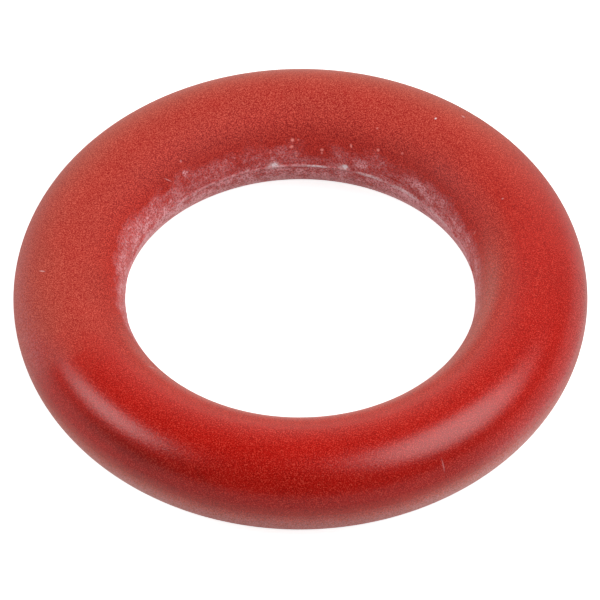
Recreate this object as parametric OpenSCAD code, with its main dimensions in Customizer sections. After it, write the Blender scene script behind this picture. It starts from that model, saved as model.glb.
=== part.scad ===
// Silicone o-ring: one solid moulded ring of round section, lying flat.
// The origin is the middle of the ring, on its axis, half way up its thickness. +Z is the axis.

/* [Ring] */
// Diameter of the hole, measured between the round walls
inside_d = 11; // [6:0.5:30]
// Diameter of the round section
section_d = 3.5; // [1.5:0.1:6]

/* [Mould line] */
// How far the flash stands into the bore, where it is left as it tears off
bore_flash_h = 0.03; // [0.01:0.01:0.08]
// How far it still stands out of the outside, where it is trimmed
outer_flash_h = 0.01; // [0.01:0.01:0.08]
// Width of the flash's flat crest, along the ring's axis
flash_w = 0.06; // [0.02:0.01:0.14]
// Slope of the flash's two flanks, from the crest down to the round wall
flash_slope = 45; // [40:5:70]

/* [Hidden] */
$fn = 128;
section_r = section_d / 2;
// Radius of the circle that the middle of the section follows
ring_r = (inside_d + section_d) / 2;
// Each flank runs on below the round wall by the flash's own height, so that its foot is buried
bore_foot_w = flash_w + 4 * bore_flash_h / tan(flash_slope);
outer_foot_w = flash_w + 4 * outer_flash_h / tan(flash_slope);

// What the two halves of the mould leave where they meet: a low trapezoid on the inner and on the
// outer side, drawn as one outline whose middle part lies inside the section
module flash_section() {
    polygon([
        [section_r - outer_flash_h, -outer_foot_w / 2],
        [section_r + outer_flash_h, -flash_w / 2],
        [section_r + outer_flash_h, flash_w / 2],
        [section_r - outer_flash_h, outer_foot_w / 2],
        [bore_flash_h - section_r, bore_foot_w / 2],
        [-bore_flash_h - section_r, flash_w / 2],
        [-bore_flash_h - section_r, -flash_w / 2],
        [bore_flash_h - section_r, -bore_foot_w / 2]
    ]);
}

// The moulded section: a true circle with the mould line across it
module ring_section() {
    circle(r = section_r);
    flash_section();
}

module o_ring() {
    color("firebrick")
        rotate_extrude()
            translate([ring_r, 0])
                ring_section();
}

o_ring();
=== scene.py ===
from math import cos, degrees, pi, radians, sin

import bpy
from mathutils import Matrix, Vector, noise


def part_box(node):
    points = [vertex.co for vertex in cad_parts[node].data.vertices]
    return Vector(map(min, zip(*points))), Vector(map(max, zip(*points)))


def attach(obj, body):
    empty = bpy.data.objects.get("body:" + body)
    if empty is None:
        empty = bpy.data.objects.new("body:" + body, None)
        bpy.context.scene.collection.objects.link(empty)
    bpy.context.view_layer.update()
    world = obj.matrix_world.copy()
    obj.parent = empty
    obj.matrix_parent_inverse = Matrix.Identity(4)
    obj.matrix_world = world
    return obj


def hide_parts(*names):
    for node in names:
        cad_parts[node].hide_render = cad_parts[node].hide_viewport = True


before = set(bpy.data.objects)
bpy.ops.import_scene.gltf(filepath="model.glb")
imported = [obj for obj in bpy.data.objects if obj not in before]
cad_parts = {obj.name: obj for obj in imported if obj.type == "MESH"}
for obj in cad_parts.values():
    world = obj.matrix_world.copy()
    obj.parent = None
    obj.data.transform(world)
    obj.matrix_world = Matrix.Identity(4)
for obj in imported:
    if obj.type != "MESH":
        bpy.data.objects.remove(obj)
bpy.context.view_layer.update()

# The ring: red silicone rubber, pressed and cured as one piece in a mould of two halves.
# The flash between the halves is torn off in the bore, which leaves a low ragged ridge, and is trimmed
# almost flush on the outside.
MM = 0.001
TOLERANCE = 0.001 * MM
BORE_FLASH_H = 0.03 * MM
OUTER_FLASH_H = 0.01 * MM
FLASH_W = 0.06 * MM
TORN_DEPTH = 0.012 * MM
TORN_LENGTH = 0.35 * MM
TRIM_DEPTH = 0.008 * MM
ring_low, ring_high = (Vector(corner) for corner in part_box("o_ring"))
SECTION_R = (ring_high.z - ring_low.z) / 2
RING_R = (ring_high.x - ring_low.x) / 2 - OUTER_FLASH_H - SECTION_R
SECTION_SIDES = 96
TURN_STEPS = 360

bpy.ops.object.select_all(action="DESELECT")
bpy.ops.mesh.primitive_circle_add(
    vertices=SECTION_SIDES, radius=SECTION_R, fill_type="NOTHING",
    location=(RING_R, 0, 0), rotation=(pi / 2, 0, 0))
ring = bpy.context.object
ring.name = "moulded_ring"
bpy.ops.object.transform_apply(location=True, rotation=True, scale=True)
bpy.ops.object.mode_set(mode="EDIT")
bpy.ops.mesh.select_all(action="SELECT")
bpy.ops.mesh.spin(steps=TURN_STEPS, angle=2 * pi, center=(0, 0, 0), axis=(0, 0, 1))
bpy.ops.mesh.select_all(action="SELECT")
bpy.ops.mesh.remove_doubles(threshold=TOLERANCE)
bpy.ops.mesh.normals_make_consistent(inside=False)

# On each side the equator's edges widen into a strip, and the strip is pushed out into the flash's ridge
for flash_h, on_this_side in ((BORE_FLASH_H, lambda reach: reach < RING_R),
                              (OUTER_FLASH_H, lambda reach: reach > RING_R)):
    bpy.ops.mesh.select_mode(type="EDGE")
    bpy.ops.mesh.select_all(action="DESELECT")
    bpy.ops.object.mode_set(mode="OBJECT")
    for edge in ring.data.edges:
        ends = [ring.data.vertices[i].co for i in edge.vertices]
        edge.select = all(abs(end.z) < TOLERANCE and on_this_side(end.xy.length) for end in ends)
    bpy.ops.object.mode_set(mode="EDIT")
    bpy.ops.mesh.bevel(offset=FLASH_W / 2 + flash_h, segments=1, affect="EDGES")
    bpy.ops.mesh.select_mode(type="FACE")
    bpy.ops.mesh.select_all(action="DESELECT")
    bpy.ops.object.mode_set(mode="OBJECT")
    for face in ring.data.polygons:
        face.select = abs(face.center.z) < TOLERANCE and on_this_side(face.center.xy.length)
    bpy.ops.object.mode_set(mode="EDIT")
    bpy.ops.mesh.inset(thickness=flash_h, depth=flash_h, use_boundary=True, use_even_offset=True)
bpy.ops.mesh.select_all(action="SELECT")
bpy.ops.mesh.normals_make_consistent(inside=False)
bpy.ops.object.mode_set(mode="OBJECT")

# The crest in the bore is torn unevenly, and the one outside is trimmed down to a trace. A vertex that
# stands out by more than this share of the ridge's height is on its crest
CREST_SHARE = 0.8
for vertex in ring.data.vertices:
    reach = vertex.co.xy.length
    if reach < RING_R - SECTION_R - CREST_SHARE * BORE_FLASH_H:
        raggedness = noise.noise(Vector((vertex.co.x, vertex.co.y, 0)) / TORN_LENGTH)
        vertex.co.xy *= 1 + TORN_DEPTH * (0.5 + 0.5 * raggedness) / reach
    elif reach > RING_R + SECTION_R + CREST_SHARE * OUTER_FLASH_H:
        vertex.co.xy *= 1 - TRIM_DEPTH / reach
bpy.ops.object.shade_smooth()


def linear(hex_colour):
    """An sRGB hex colour as linear red, green, blue and alpha."""
    parts = [int(hex_colour[i:i + 2], 16) / 255 for i in (1, 3, 5)]
    return [p / 12.92 if p <= 0.04045 else ((p + 0.055) / 1.055) ** 2.4 for p in parts] + [1.0]


def add_node(tree, kind, inputs=(), **settings):
    """Add a shader node and its own settings. Each input, by place or by name, gets a value, a socket, or
    another node, which stands for its first output."""
    node = tree.nodes.new("ShaderNode" + kind)
    for name, value in settings.items():
        setattr(node, name, value)
    for key, value in inputs.items() if isinstance(inputs, dict) else enumerate(inputs):
        if isinstance(value, bpy.types.Node):
            value = value.outputs[0]
        if isinstance(value, bpy.types.NodeSocket):
            tree.links.new(value, node.inputs[key])
        else:
            node.inputs[key].default_value = value
    return node


# Peroxide-cured silicone, coloured with iron oxide: deep brick red and opaque, with the satin skin that a
# fine-blasted mould leaves. Talc and dust cling to it as a film, a veil, tufts and crumbs
RED = linear("#C5130A")
FILM = linear("#EEDFB6")
VEIL = linear("#FABEC4")
TALC = linear("#FFF2F6")
CRUMB = linear("#FF9A90")
SHEEN = linear("#FFEEE4")
RING_MM = RING_R / MM
SECTION_MM = SECTION_R / MM
silicone = bpy.data.materials.new("red silicone rubber with talc")
silicone.use_nodes = True
tree = silicone.node_tree

# Where a point lies on the ring: its place, its distance from the axis and its height, in mm. Its angle
# round the section is 0 in the middle of the bore, 90 on top, 180 outside and -90 or 270 underneath
place = add_node(tree, "TexCoord").outputs["Object"]
place_mm = add_node(tree, "VectorMath", {0: place, "Scale": 1 / MM}, operation="SCALE")
flat = add_node(tree, "VectorMath", (place_mm, (1, 1, 0)), operation="MULTIPLY")
radius = add_node(tree, "VectorMath", (flat,), operation="LENGTH").outputs["Value"]
height = add_node(tree, "SeparateXYZ", (place_mm,)).outputs["Z"]
inward = add_node(tree, "Math", (RING_MM, radius), operation="SUBTRACT")
section_angle = add_node(tree, "Math", (height, inward), operation="ARCTAN2")
section_angle = add_node(tree, "Math", (section_angle,), operation="DEGREES")
section_angle = add_node(tree, "Math", (section_angle, 270, -90), operation="WRAP")

# Its direction from the axis, of which to_right and to_far run from -1 to 1, and its angle round the
# ring, which is 0 on the right, 90 on the far side, 180 on the left and -90 or 270 on the near side
outward = add_node(tree, "VectorMath", (flat,), operation="NORMALIZE")
direction = add_node(tree, "SeparateXYZ", (outward,))
to_right, to_far = direction.outputs["X"], direction.outputs["Y"]
to_left = add_node(tree, "Math", (to_right, -1.0), operation="MULTIPLY")
around = add_node(tree, "Math", (to_left, to_far), operation="ARCTAN2")
around = add_node(tree, "Math", (around,), operation="DEGREES")
around = add_node(tree, "Math", (around, 90.0), operation="ADD")
angles = add_node(tree, "CombineXYZ", (around, section_angle))

# The surface unrolled, and squeezed along the ring, so that a pattern on it runs along the ring, as rubbed
# dust does
SQUEEZE = 0.6
arc = add_node(tree, "Math", (section_angle, radians(SECTION_MM)), operation="MULTIPLY")
along = add_node(tree, "VectorMath", {0: outward, "Scale": SQUEEZE * RING_MM}, operation="SCALE")
across = add_node(tree, "CombineXYZ", {"Z": arc})
unrolled = add_node(tree, "VectorMath", (along, across), operation="ADD")

# Cloudy patterns, each with the size of its lumps in mm, its detail and its roughness. The grain and the
# grit are drawn a little coarser than real, so that they show
PATTERNS = {
    "grain of the blasted mould": (place_mm, 0.035, 1.0, 0.6),
    "grit of the dust": (place_mm, 0.055, 1.0, 0.7),
    "coarse grit": (place_mm, 0.12, 1.0, 0.55),
    "drift of the dust": (place_mm, 1.6, 3.0, 0.55),
    "blotches of the veil": (unrolled, 0.36, 4.0, 0.65),
    "ragged edge of the veil": (unrolled, 0.5, 4.0, 0.65),
    "gaps along the mould line": (unrolled, 0.7, 4.0, 0.7),
}
pattern = {
    name: add_node(tree, "TexNoise", {"Vector": vector, "Scale": 1 / size_mm, "Detail": detail,
                                      "Roughness": roughness})
    for name, (vector, size_mm, detail, roughness) in PATTERNS.items()}
grain = pattern["grain of the blasted mould"]


def region(*edges):
    """A soft-edged part of the surface. Each edge is a measure, the two places on it where the edge begins
    and ends, and the two strengths there, which are 0 and 1 if left out. The edges are multiplied."""
    mask = 1.0
    for edge in edges:
        step = add_node(tree, "MapRange", edge, interpolation_type="SMOOTHSTEP")
        mask = add_node(tree, "Math", (mask, step), operation="MULTIPLY")
    return mask


def mark(around_at, section_at, along_mm, across_mm, turn):
    """A soft oval spot on the rubber, from 1 in its middle to 0. around_at is its angle round the ring and
    section_at its angle in the section, from the outside over the top. turn swings it off the ring's run."""
    u, v, t = radians(around_at), radians(section_at), radians(turn)
    # A spot that isn't turned is measured on the two angles alone, which keeps long lists of spots light
    if turn == 0:
        along_size = degrees(along_mm / (RING_MM + SECTION_MM * cos(v)))
        across_size = degrees(across_mm / SECTION_MM)
        local = add_node(tree, "VectorMath", (
            angles, (1 / along_size, 1 / across_size, 0),
            (-around_at / along_size, (section_at - 180) / across_size, 0)), operation="MULTIPLY_ADD")
    else:
        out = Vector((cos(u), sin(u), 0))
        run = Vector((-sin(u), cos(u), 0))
        climb = -sin(v) * out + cos(v) * Vector((0, 0, 1))
        normal = cos(v) * out + sin(v) * Vector((0, 0, 1))
        long_side = cos(t) * run + sin(t) * climb
        local = add_node(tree, "Mapping", {
            "Vector": place_mm, "Location": RING_MM * out + SECTION_MM * normal,
            "Rotation": Matrix((long_side, normal.cross(long_side), normal)).transposed().to_euler(),
            "Scale": (along_mm, across_mm, max(along_mm, across_mm))}, vector_type="TEXTURE")
    away = add_node(tree, "VectorMath", (local,), operation="LENGTH").outputs["Value"]
    return region((away, 1.0, 0.2))


def marks(spots):
    """The sum of a list of spots, each with its own strength."""
    total = 0.0
    for *shape, strength in spots:
        total = add_node(tree, "Math", (mark(*shape), strength, total), operation="MULTIPLY_ADD")
    return total


# Edges that several regions share
IN_BORE = (section_angle, -88, -50)
OUTER_SIDE = (radius, RING_MM - 0.5, RING_MM + 0.5)
OUTER_WALL = (radius, RING_MM, RING_MM + 0.5)

# The matt film of fine dust: on the far and left side, low down all round, and thinner in the bore. The near
# side is glossier, as if wiped. The film's cloudy end wanders by some degrees round the ring, and comes
# sooner on the outside. Where it ends is matched to one picture
FILM_WANDER = 24
wander = add_node(tree, "Math", (pattern["drift of the dust"], FILM_WANDER, -FILM_WANDER / 2),
                  operation="MULTIPLY_ADD")
wiped_further = region((section_angle, 115, 150, 0.0, 6.0))
film_end = add_node(tree, "Math", (around, wander), operation="ADD")
film_end = add_node(tree, "Math", (film_end, wiped_further), operation="ADD")
far_film = region((film_end, 215, 197), (film_end, 0, 62))
low_film = region((height, 0.4, -0.6))
bore_film = region((section_angle, 82, 58, 0.0, 0.75))
film = add_node(tree, "Math", (far_film, low_film), operation="MAXIMUM")
film = add_node(tree, "Math", (film, bore_film), operation="MAXIMUM")
# Painted sheen: the far outer shoulder is made paler, drawn as extra film
shoulder_sheen = region((section_angle, 85, 120), (section_angle, 250, 200), (to_far, 0.2, 0.8, 0.02, 0.045))
shoulder_sheen = add_node(tree, "Math", (film, shoulder_sheen), operation="MULTIPLY")

# Paler places that are painted sheen, drawn with the grit of dust: on the near side's slope into the bore,
# which leans to the right, low on the outside, at its foot, and up its left and right wall. They are matched
# to one picture, and their cause is a guess, so a clean ring goes without them
RIGHT_LEAN = 0.3
RIM_SHEEN = 0.6
nearness = add_node(tree, "Math", (to_right, -RIGHT_LEAN, to_far), operation="MULTIPLY_ADD")
near_rim_sheen = region((section_angle, 64, 42, 0.0, 0.19), (nearness, 0.1, -0.5), IN_BORE)
low_rim_sheen = region((height, 0.45, -0.7, 0.0, 0.17), OUTER_SIDE,
                 (to_far, -0.99, -0.82, 0.85, 1.9), (to_far, -0.3, 0.2, 1.0, 0.5))
painted_rims = add_node(tree, "Math", (near_rim_sheen, low_rim_sheen), operation="ADD")
foot_sheen = region((height, 0.05, -0.65, 0.0, 0.22), OUTER_SIDE)
left_wall_sheen = region((to_far, -0.52, -0.3, 0.0, 0.15), (to_right, -0.7, -0.95), (height, 1.6, 0.5),
                   OUTER_WALL)
right_wall_sheen = region((to_right, 0.5, 0.8, 0.0, 0.13), (height, 0.8, 0.1), OUTER_WALL)
painted_outer_sheen = add_node(tree, "Math", (painted_rims, RIM_SHEEN, foot_sheen), operation="MULTIPLY_ADD")
painted_outer_sheen = add_node(tree, "Math", (painted_outer_sheen, left_wall_sheen), operation="ADD")
painted_outer_sheen = add_node(tree, "Math", (painted_outer_sheen, right_wall_sheen), operation="ADD")

# The veil of talc in the bore, where nothing wipes it: thin on the far wall, thicker to both sides, below
# the mould line and underneath. Its upper edge is ragged, and lies a few degrees higher on the left
EDGE_WANDER = 36
EDGE_RISE = 8.0
LEFT_EXTRA = 0.07
BELOW_LINE_SHARE = 1.85
left_side = region((to_right, -0.75, -0.97))
veil_edge = add_node(tree, "Math", (pattern["ragged edge of the veil"], EDGE_WANDER, -EDGE_WANDER / 2),
                     operation="MULTIPLY_ADD")
veil_edge = add_node(tree, "Math", (left_side, -EDGE_RISE, veil_edge), operation="MULTIPLY_ADD")
veil_edge = add_node(tree, "Math", (section_angle, veil_edge), operation="ADD")
upper_veil = region((to_far, 0.97, 0.35, 0.145, 0.34))
upper_veil = add_node(tree, "Math", (left_side, LEFT_EXTRA, upper_veil), operation="MULTIPLY_ADD")
thinner_right = region((to_right, 0.7, 0.95, 0.0, -0.05))
upper_veil = add_node(tree, "Math", (upper_veil, thinner_right), operation="ADD")
lower_veil = region((to_right, 0.4, 0.85, -0.04, 0.4))
lower_veil = add_node(tree, "Math", (upper_veil, BELOW_LINE_SHARE, lower_veil), operation="MULTIPLY_ADD")
below_line = region((section_angle, 3, -6))
veil = add_node(tree, "Math", (below_line, lower_veil, upper_veil), operation="MULTIPLY_ADD")
underneath = region((section_angle, -14, -32, 0.0, 0.35))
veil = add_node(tree, "Math", (veil, underneath), operation="ADD")
blotch = region((pattern["blotches of the veil"], 0.34, 0.66, 0.4, 1.6))
grit = region((pattern["grit of the dust"], 0.34, 0.66, 0.22, 1.78))
gritty = add_node(tree, "Math", (blotch, grit), operation="MULTIPLY")
coarse_grit = region((pattern["coarse grit"], 0.60, 0.70, 0.0, 0.25))

# Single places on the ring. Each has its angle round the ring, its angle in the section, from the outside
# over the top, its length along the ring and its width across it in mm, its turn in degrees, and its
# strength
CLEAR_PLACES = [
    (85, 160, 0.85, 0.48, 0, 0.9),
    (138, 153, 0.5, 0.2, 0, 0.9),
    (141, 165, 0.6, 0.25, 0, 0.5),
    (58, 171.5, 0.85, 0.06, 0, 0.8),
    (108, 168, 0.8, 0.16, 0, 0.5),
    (102, 150, 0.8, 0.22, 0, 0.6),
]
TALC_PATCHES = [
    (70, 168, 0.32, 0.30, 0, 0.35),
    (45, 164, 0.9, 0.30, 0, 0.20),
    (96, 160, 0.5, 0.25, 0, 0.12),
    (120, 158, 0.9, 0.26, 0, 0.08),
    (129, 151, 0.16, 0.16, 0, 0.35),
]
TUFTS = [
    (75, 175.5, 0.13, 0.12, 0, 1.0),
    (98.2, 176.5, 0.15, 0.12, 0, 0.75),
    (75.5, 177, 0.28, 0.20, 0, 0.5),
    (98.6, 178, 0.34, 0.24, 0, 0.5),
    (85, 180, 0.55, 0.07, 0, 1.0),
    (66, 180, 0.75, 0.10, 0, 0.65),
    (53, 181, 0.90, 0.14, 0, 0.55),
    (37, 182, 0.80, 0.13, 0, 0.42),
    (130, 183, 0.80, 0.08, 0, 0.15),
    (107.5, 178, 0.12, 0.08, 0, 0.35),
]
CRUMBS = [
    (92.2, 148.2, 0.08, 0.08, 0, 0.9),
    (90.4, 148, 0.05, 0.05, 0, 0.5),
    (92.5, 155.5, 0.09, 0.07, 30, 0.9),
    (91, 161.5, 0.06, 0.05, 0, 0.5),
    (91, 166.5, 0.07, 0.06, 0, 0.6),
    (82.8, 158.3, 0.08, 0.07, 0, 0.9),
    (82.8, 162, 0.05, 0.07, 0, 0.6),
    (73.6, 149, 0.05, 0.10, 20, 0.8),
    (64.8, 145.5, 0.07, 0.07, 0, 0.8),
    (67, 124.2, 0.05, 0.05, 0, 0.6),
    (57, 139, 0.06, 0.06, 0, 0.5),
    (99.5, 160.5, 0.05, 0.05, 0, 0.5),
    (18.5, 148, 0.06, 0.12, 0, 0.4),
]
SPECKS_AND_SCRATCHES = [
    (54, 88.5, 0.045, 0.06, 0, 0.9),
    (49.9, 64, 0.10, 0.05, 0, 0.35),
    (22, 103, 0.04, 0.05, 0, 0.3),
    (181.4, 62, 0.16, 0.03, 60, 0.45),
    (221, 129, 0.16, 0.04, 55, 0.4),
    (-60, 27, 0.34, 0.035, 88, 0.16),
    (135.5, 146, 0.22, 0.022, -52, 0.3),
    (145, 155, 0.05, 0.05, 0, 0.3),
    (128.7, 137, 0.05, 0.06, 0, 0.2),
]
# Two small smudges, then two long bands of painted shade low on the near side, below its highlights
SMUDGES_AND_PAINTED_SHADE = [
    (243, 43, 0.9, 0.30, -20, 0.09),
    (249, 33, 0.7, 0.16, -45, 0.10),
    (230, 29, 3.5, 0.42, 0, 0.22),
    (326, 32, 3.0, 0.65, 0, 0.18),
]

# All the dust together, with painted sheen: the veil with its clear places, the painted sheen outside, the
# patches, and what clings to the torn mould line. Even the thickest dust, crumb or tuft lets a little of the
# rubber through
PATCH_STRENGTH = 1.15
THICKEST_DUST = 0.9
THICKEST_TALC = 0.95
clear = region((marks(CLEAR_PLACES), 0.0, 1.0, 1.0, 0.0))
veil_zone = add_node(tree, "Math", (region((veil_edge, 34, 12), IN_BORE), clear), operation="MULTIPLY")
dust = add_node(tree, "Math", (veil, gritty, coarse_grit), operation="MULTIPLY_ADD")
dust = add_node(tree, "Math", (dust, veil_zone), operation="MULTIPLY")
# The painted sheen outside comes in here, with the grit of dust
dust = add_node(tree, "Math", (painted_outer_sheen, grit, dust), operation="MULTIPLY_ADD")
patches = add_node(tree, "Math", (marks(TALC_PATCHES), gritty), operation="MULTIPLY")
dust = add_node(tree, "Math", (patches, PATCH_STRENGTH, dust), operation="MULTIPLY_ADD")
off_line = add_node(tree, "Math", (height,), operation="ABSOLUTE")
on_line = region((off_line, 0.08, 0.03), (radius, RING_MM, RING_MM - 1),
                 (pattern["gaps along the mould line"], 0.42, 0.62, 0.0, 0.4))
dust = add_node(tree, "Math", (dust, on_line), operation="ADD")
dust = add_node(tree, "Math", (dust, THICKEST_DUST), operation="MINIMUM")
crumbs = add_node(tree, "Math", (marks(CRUMBS), THICKEST_DUST), operation="MINIMUM")
gritty_tufts = region((grit, 0.3, 1.4, 0.5, 1.0))
talc = add_node(tree, "Math", (marks(TUFTS), gritty_tufts, marks(SPECKS_AND_SCRATCHES)),
                operation="MULTIPLY_ADD")
talc = add_node(tree, "Math", (talc, THICKEST_TALC), operation="MINIMUM")

# The rubber's own red: the blasted grain, with more contrast in the bore and low down, and faint clouds.
# On it, matched to one picture, lie painted light low on the near side, and painted shade on the near side's
# outer face, on the far slope into the bore and in two long bands under the near side's highlights; two
# small smudges are stains. Wiped, brushed and smudged are guesses at their cause, and a clean ring goes
# without them
GRAIN_CONTRAST = 0.38
EVENED_BY_FILM = 0.06
contrast = add_node(tree, "Math", (film, -EVENED_BY_FILM, GRAIN_CONTRAST), operation="MULTIPLY_ADD")
in_bore_more = region((section_angle, 78, 50, 0.0, 0.16), IN_BORE)
low_down_more = region((height, 0.3, -0.4, 0.0, 0.16))
for more in (in_bore_more, low_down_more):
    contrast = add_node(tree, "Math", (contrast, more), operation="ADD")
grains = region((grain, 0.25, 0.75, -1.0, 1.0))
clouds = region((pattern["drift of the dust"], 0.3, 0.7, 0.96, 1.03))
tone = add_node(tree, "Math", (grains, contrast, clouds), operation="MULTIPLY_ADD")
# Painted light low on the near side, and painted shade on its outer face and on the far slope into the bore
painted_light_low = region((height, 0.3, -0.4, 0.0, 0.08), (to_far, -0.3, -0.55))
painted_shade_near_face = region((section_angle, 105, 145, 0.0, 0.17), (height, -0.3, 0.2), (to_far, -0.6, -0.85))
painted_shade_far_slope = region((section_angle, 62, 36, 0.0, 0.14), IN_BORE, (to_far, 0.45, 0.8))
shade = add_node(tree, "Math", (1.0, painted_light_low), operation="ADD")
for deeper in (painted_shade_near_face, painted_shade_far_slope, marks(SMUDGES_AND_PAINTED_SHADE)):
    shade = add_node(tree, "Math", (shade, deeper), operation="SUBTRACT")
tone = add_node(tree, "Math", (tone, shade), operation="MULTIPLY")
rubber = add_node(tree, "VectorMath", {0: RED[:3], "Scale": tone}, operation="SCALE")

# The film whitens the tops of the grain: most on the dusty side, less in the bore and on the bare side, and
# painted sheen whitens them on the rims and the far shoulder. A Mix node takes the share first, two numbers
# at 2 and 3, and two colours at 6 and 7
RIM_SHEEN_FILM = 0.45
less_in_bore = region((section_angle, 75, 20, 0.0, -0.55), IN_BORE)
less_in_bore = add_node(tree, "Math", (less_in_bore, 1.0), operation="ADD")
dusty_grains = region((grain, 0.38, 0.72, 0.0, 0.15))
dusty_grains = add_node(tree, "Math", (dusty_grains, less_in_bore), operation="MULTIPLY")
bare_grains = region((grain, 0.5, 0.75, 0.0, 0.08))
filmed_and_sheen = add_node(tree, "Mix", {0: film, 2: bare_grains, 3: dusty_grains})
filmed_and_sheen = add_node(tree, "Math", (painted_rims, RIM_SHEEN_FILM, filmed_and_sheen), operation="MULTIPLY_ADD")
filmed_and_sheen = add_node(tree, "Math", (filmed_and_sheen, shoulder_sheen), operation="ADD")
# The film's and the dust's shares both hold painted sheen as well
skin = rubber
for cover, colour in ((filmed_and_sheen, FILM), (dust, VEIL), (crumbs, CRUMB), (talc, TALC)):
    skin = add_node(tree, "Mix", {0: cover, 6: skin, 7: colour}, data_type="RGBA").outputs[2]

# Satin where bare, and matt under film or talc. The grain and the grit stand up by a few thousandths of a
# millimetre
BARE_ROUGHNESS = 0.24
ADDED_BY_GRAIN = 0.06
ADDED_BY_DUST = 0.43
GRAIN_DEPTH = 0.006 * MM
GRIT_SHARE = 0.3
dull = add_node(tree, "Math", (film, region((talc, 0.05, 0.25))), operation="MAXIMUM")
roughness = add_node(tree, "Math", (grain, ADDED_BY_GRAIN, BARE_ROUGHNESS), operation="MULTIPLY_ADD")
roughness = add_node(tree, "Math", (dull, ADDED_BY_DUST, roughness), operation="MULTIPLY_ADD")
relief = add_node(tree, "Math", (grit, GRIT_SHARE, grain), operation="MULTIPLY_ADD")
bump = add_node(tree, "Bump", {"Height": relief, "Strength": 0.5, "Distance": GRAIN_DEPTH})
shader = tree.nodes["Principled BSDF"]
tree.links.new(skin, shader.inputs["Base Color"])
tree.links.new(roughness.outputs[0], shader.inputs["Roughness"])
tree.links.new(bump.outputs[0], shader.inputs["Normal"])
shader.inputs["IOR"].default_value = 1.43
shader.inputs["Sheen Weight"].default_value = 0.3
shader.inputs["Sheen Roughness"].default_value = 0.37
shader.inputs["Sheen Tint"].default_value = SHEEN
ring.data.materials.append(silicone)

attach(ring, "root")
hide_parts("o_ring")

# The table: a plain sheet of matt white paper that the ring lies on. It takes the ring's shadow, and glows
# for the camera alone, so that the picture's ground is white.
TABLE_SIZE = 1.2
TABLE_GLOW = 0.88
bpy.ops.object.select_all(action="DESELECT")
bpy.ops.mesh.primitive_plane_add(size=TABLE_SIZE, location=(0, 0, ring_low.z))
floor = bpy.context.object
floor.name = "table"
paper = bpy.data.materials.new("matt white paper")
paper.use_nodes = True
tree = paper.node_tree
sheet = tree.nodes["Principled BSDF"]
sheet.inputs["Base Color"].default_value = linear("#D6D6D6")
sheet.inputs["Roughness"].default_value = 0.9
seen = add_node(tree, "LightPath").outputs["Is Camera Ray"]
glow = add_node(tree, "Emission", {"Color": (1, 1, 1, 1), "Strength": TABLE_GLOW})
white = add_node(tree, "AddShader", (sheet, glow))
ground = add_node(tree, "MixShader", (seen, sheet, white))
tree.links.new(ground.outputs[0], tree.nodes["Material Output"].inputs["Surface"])
floor.data.materials.append(paper)

# The light: a white tent, open and dark towards the camera and a little brighter on the left, with a soft
# lamp on the left and one on the right. The camera sees the tent as plain white.
LAMP_DISTANCE = 0.3
TENT_LEVEL = 1.22
TENT_LEAN = -0.4
TENT_WHITE = linear("#FFF9EE")


def soft_lamp(name, azimuth, elevation, lean, width, height, radiance):
    """An area lamp that faces the ring. Azimuth 90 is the far side, and lean turns it about its own beam."""
    place = Vector((cos(radians(azimuth)) * cos(radians(elevation)),
                    sin(radians(azimuth)) * cos(radians(elevation)),
                    sin(radians(elevation)))) * LAMP_DISTANCE
    bpy.ops.object.light_add(type="AREA", location=place)
    lamp = bpy.context.object
    lamp.name = name
    lamp.data.shape = "ELLIPSE"
    lamp.data.size = width
    lamp.data.size_y = height
    lamp.data.energy = radiance * pi * pi / 4 * width * height
    facing = place.to_track_quat("Z", "Y").to_matrix().to_4x4()
    lamp.matrix_world = Matrix.Translation(place) @ facing @ Matrix.Rotation(radians(lean), 4, "Z")


soft_lamp("left_softbox", azimuth=-170, elevation=34.5, lean=27, width=0.20, height=0.135, radiance=5.4)
soft_lamp("right_softbox", azimuth=-20, elevation=48.5, lean=-31, width=0.26, height=0.235, radiance=4.9)

world = bpy.data.worlds.new("white tent")
bpy.context.scene.world = world
world.use_nodes = True
tree = world.node_tree
background = tree.nodes["Background"]
outlook = add_node(tree, "TexCoord").outputs["Generated"]
outlook = add_node(tree, "SeparateXYZ", (outlook,))
far_side = add_node(tree, "Math", (outlook.outputs["Y"], 0.0), operation="MAXIMUM")
leftward = add_node(tree, "Math", (outlook.outputs["X"], TENT_LEAN, 1.0), operation="MULTIPLY_ADD")
level = add_node(tree, "Math", (far_side, far_side), operation="MULTIPLY")
level = add_node(tree, "Math", (level, TENT_LEVEL), operation="MULTIPLY")
level = add_node(tree, "Math", (level, leftward), operation="MULTIPLY")
seen = add_node(tree, "LightPath").outputs["Is Camera Ray"]
strength = add_node(tree, "Mix", {0: seen, 2: level, 3: 1.0})
tint = add_node(tree, "Mix", {0: seen, 6: TENT_WHITE, 7: (1, 1, 1, 1)}, data_type="RGBA")
tree.links.new(strength.outputs[0], background.inputs["Strength"])
tree.links.new(tint.outputs[2], background.inputs["Color"])

# The camera: a long macro lens, looking down on the ring from the front. The ring's middle circle is as
# wide in the picture, and its centre at the same place, as in the photograph.
VIEW_ELEVATION = radians(49.03)
VIEW_ROLL = radians(-0.33)
VIEW_DISTANCE = 80 * RING_R
RING_R_PIXELS = 231.4
FRAME_PIXELS = 600
CENTRE_PIXEL = (300.4, 297.25)
LENS = 105.0
bpy.ops.object.camera_add()
camera = bpy.context.object
turn = Matrix.Rotation(pi / 2 - VIEW_ELEVATION, 4, "X") @ Matrix.Rotation(VIEW_ROLL, 4, "Z")
pixel = RING_R / RING_R_PIXELS
aside = Vector(((FRAME_PIXELS / 2 - CENTRE_PIXEL[0]) * pixel, (CENTRE_PIXEL[1] - FRAME_PIXELS / 2) * pixel,
                VIEW_DISTANCE))
camera.matrix_world = Matrix.Translation(turn @ aside) @ turn
camera.data.lens = LENS
camera.data.sensor_width = LENS * FRAME_PIXELS / (RING_R_PIXELS * VIEW_DISTANCE / RING_R)
camera.data.clip_start = 0.01
camera.data.clip_end = 10
bpy.context.scene.camera = camera
bpy.context.scene.view_settings.view_transform = "Standard"
